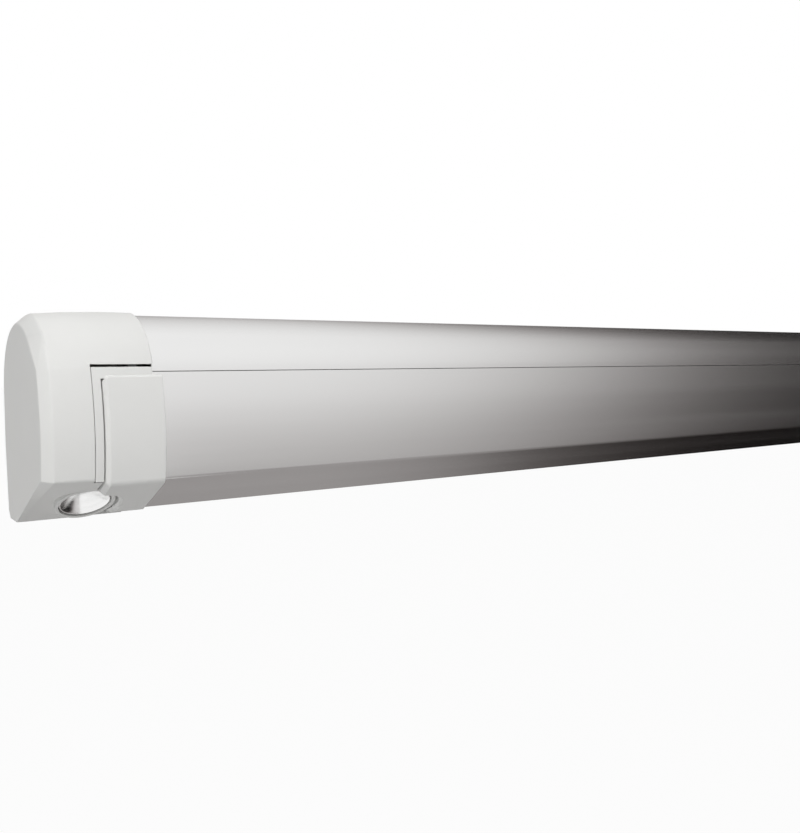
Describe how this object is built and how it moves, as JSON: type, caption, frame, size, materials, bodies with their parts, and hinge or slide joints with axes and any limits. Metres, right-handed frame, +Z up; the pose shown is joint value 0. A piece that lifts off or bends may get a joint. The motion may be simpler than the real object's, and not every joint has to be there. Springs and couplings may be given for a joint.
{
  "type": "roll out awning",
  "caption": "Long wall-mounted cassette awning: rounded aluminium case with moulded ends, crank eye, cloth roller, folding spring arms, lead rail and drop legs.",
  "frame": {"origin": "on the wall plane, midway along the cassette, midway between the two bolt holes of the middle wall bracket", "axes": "+X along the cassette away from the crank end, +Y into the wall, +Z up; the cassette and the awning stand off towards -Y"},
  "size_m": [3, 0.12, 0.1567],
  "materials": {
    "anodised_aluminium": "satin clear anodised, fine extrusion lines along the length",
    "cap_plastic": "moulded, light warm grey, fine satin grain",
    "cast_aluminium": "die cast, tumbled",
    "steel": "zinc plated",
    "bracket_steel": "pressed steel, grey powder coat",
    "gear_plastic": "glass filled, dark",
    "bush_plastic": "natural acetal",
    "seal_rubber": "extruded, matt",
    "eye_metal": "turned, satin",
    "awning_cloth": "coated woven cloth, grey",
    "arm_paint": "white powder coat",
    "arm_casting": "light grey powder coat on a die casting",
    "leg_aluminium": "clear anodised",
    "leg_plastic": "dark grey moulding",
    "lever_plastic": "black moulding"
  },
  "bodies": {
    "cassette": {"cassette_profile": "anodised_aluminium", "end_cap_left": "cap_plastic", "end_cap_right": "cap_plastic", "end_plate_left": "cast_aluminium", "end_plate_right": "cast_aluminium", "end_plate_screws": "steel", "gearbox_case": "gear_plastic", "gearbox_cover": "gear_plastic", "roller_bush_left": "bush_plastic", "roller_bush_right": "bush_plastic", "shoulder_bracket_left": "cast_aluminium", "shoulder_bracket_right": "cast_aluminium", "shoulder_pins": "steel", "shoulder_bolts": "steel", "wall_brackets": "bracket_steel", "bracket_lock_screws": "steel", "rain_seal": "seal_rubber"},
    "crank": {"crank_eye": "eye_metal", "worm_shaft": "steel"},
    "roller": {"worm_wheel": "bush_plastic", "roller_tube": "anodised_aluminium", "roller_drive_plug": "gear_plastic", "roller_idle_plug": "gear_plastic", "fabric_roll": "awning_cloth"},
    "fabric": {"fabric_run": "awning_cloth"},
    "inner_arm_left": {"inner_arm_tube_left": "arm_paint", "shoulder_knuckle_left": "arm_casting", "elbow_fork_left": "arm_casting", "elbow_pin_left": "steel"},
    "outer_arm_left": {"outer_arm_tube_left": "arm_paint", "elbow_tongue_left": "arm_casting", "wrist_knuckle_left": "arm_casting", "arm_spring_left": "steel"},
    "inner_arm_right": {"inner_arm_tube_right": "arm_paint", "shoulder_knuckle_right": "arm_casting", "elbow_fork_right": "arm_casting", "elbow_pin_right": "steel"},
    "outer_arm_right": {"outer_arm_tube_right": "arm_paint", "elbow_tongue_right": "arm_casting", "wrist_knuckle_right": "arm_casting", "arm_spring_right": "steel"},
    "lead_rail": {"lead_rail_profile": "anodised_aluminium", "lead_rail_cap_left": "cap_plastic", "lead_rail_cap_right": "cap_plastic", "wrist_brackets": "cast_aluminium", "wrist_pins": "steel", "front_keder": "bush_plastic", "leg_hinges": "steel", "leg_hinge_pins": "steel"},
    "leg_left": {"leg_tube_left": "leg_aluminium", "leg_fittings_left": "leg_plastic"},
    "lower_leg_left": {"leg_inner_left": "leg_aluminium", "leg_foot_left": "leg_plastic"},
    "lever_left": {"leg_lever_left": "lever_plastic"},
    "leg_right": {"leg_tube_right": "leg_aluminium", "leg_fittings_right": "leg_plastic"},
    "lower_leg_right": {"leg_inner_right": "leg_aluminium", "leg_foot_right": "leg_plastic"},
    "lever_right": {"leg_lever_right": "lever_plastic"}
  },
  "joints": [
    {"name": "roll_out", "type": "hinge", "parent": "cassette", "child": "inner_arm_left", "pos_m": [-1.33, -0.028, -0.02018], "axis": [0, 0.1392, -0.9903], "range_deg": [0, 76]},
    {"name": "elbow_left", "type": "hinge", "parent": "inner_arm_left", "child": "outer_arm_left", "pos_m": [-0.04, -0.04682, -0.02282], "axis": [0, 0.1392, -0.9903], "range_deg": [-152, 0]},
    {"name": "wrist_left", "type": "hinge", "parent": "outer_arm_left", "child": "lead_rail", "pos_m": [-1.33, -0.06563, -0.02547], "axis": [0, 0.1392, -0.9903], "range_deg": [0, 76]},
    {"name": "shoulder_right", "type": "hinge", "parent": "cassette", "child": "inner_arm_right", "pos_m": [1.33, -0.028, -0.02018], "axis": [0, -0.1392, 0.9903], "range_deg": [0, 76]},
    {"name": "elbow_right", "type": "hinge", "parent": "inner_arm_right", "child": "outer_arm_right", "pos_m": [0.04, -0.04682, -0.02282], "axis": [0, -0.1392, 0.9903], "range_deg": [-152, 0]},
    {"name": "roller_spin", "type": "hinge", "parent": "cassette", "child": "roller", "pos_m": [0, -0.054, 0.026], "axis": [-1, 0, 0], "range_deg": [0, 4680]},
    {"name": "crank_turn", "type": "hinge", "parent": "cassette", "child": "crank", "pos_m": [-1.463, -0.0801, -0.06233], "axis": [0, 0.5878, 0.809], "range_deg": [0, 28080]},
    {"name": "fabric_pull", "type": "slide", "parent": "cassette", "child": "fabric", "axis": [0, -0.9903, -0.1392], "range_m": [0, 2.47456], "deforming": ["fabric_run"]},
    {"name": "leg_swing_left", "type": "hinge", "parent": "lead_rail", "child": "leg_left", "pos_m": [-1.388, -0.05, -0.057], "axis": [0, 1, 0], "range_deg": [0, 90]},
    {"name": "leg_draw_left", "type": "slide", "parent": "leg_left", "child": "lower_leg_left", "axis": [1, 0, 0], "range_m": [0, 1]},
    {"name": "lever_left", "type": "hinge", "parent": "leg_left", "child": "lever_left", "pos_m": [-0.167, -0.05, -0.0681], "axis": [0, -1, 0], "range_deg": [0, 110]},
    {"name": "leg_swing_right", "type": "hinge", "parent": "lead_rail", "child": "leg_right", "pos_m": [1.388, -0.05, -0.057], "axis": [0, -1, 0], "range_deg": [0, 90]},
    {"name": "leg_draw_right", "type": "slide", "parent": "leg_right", "child": "lower_leg_right", "axis": [-1, 0, 0], "range_m": [0, 1]},
    {"name": "lever_right", "type": "hinge", "parent": "leg_right", "child": "lever_right", "pos_m": [0.167, -0.05, -0.0681], "axis": [0, 1, 0], "range_deg": [0, 110]}
  ],
  "couplings": [
    {"joint": "elbow_left", "follows": "roll_out", "ratio": -2},
    {"joint": "wrist_left", "follows": "roll_out", "ratio": 1},
    {"joint": "shoulder_right", "follows": "roll_out", "ratio": 1},
    {"joint": "elbow_right", "follows": "roll_out", "ratio": -2},
    {"joint": "roller_spin", "follows": "roll_out", "ratio": 61.579},
    {"joint": "crank_turn", "follows": "roll_out", "ratio": 369.47},
    {"joint": "fabric_pull", "follows": "roll_out", "m_per_rad": 1.8655},
    {"joint": "leg_draw_left", "follows": "leg_swing_left", "m_per_rad": 0.63662},
    {"joint": "leg_draw_right", "follows": "leg_swing_right", "m_per_rad": 0.63662}
  ]
}
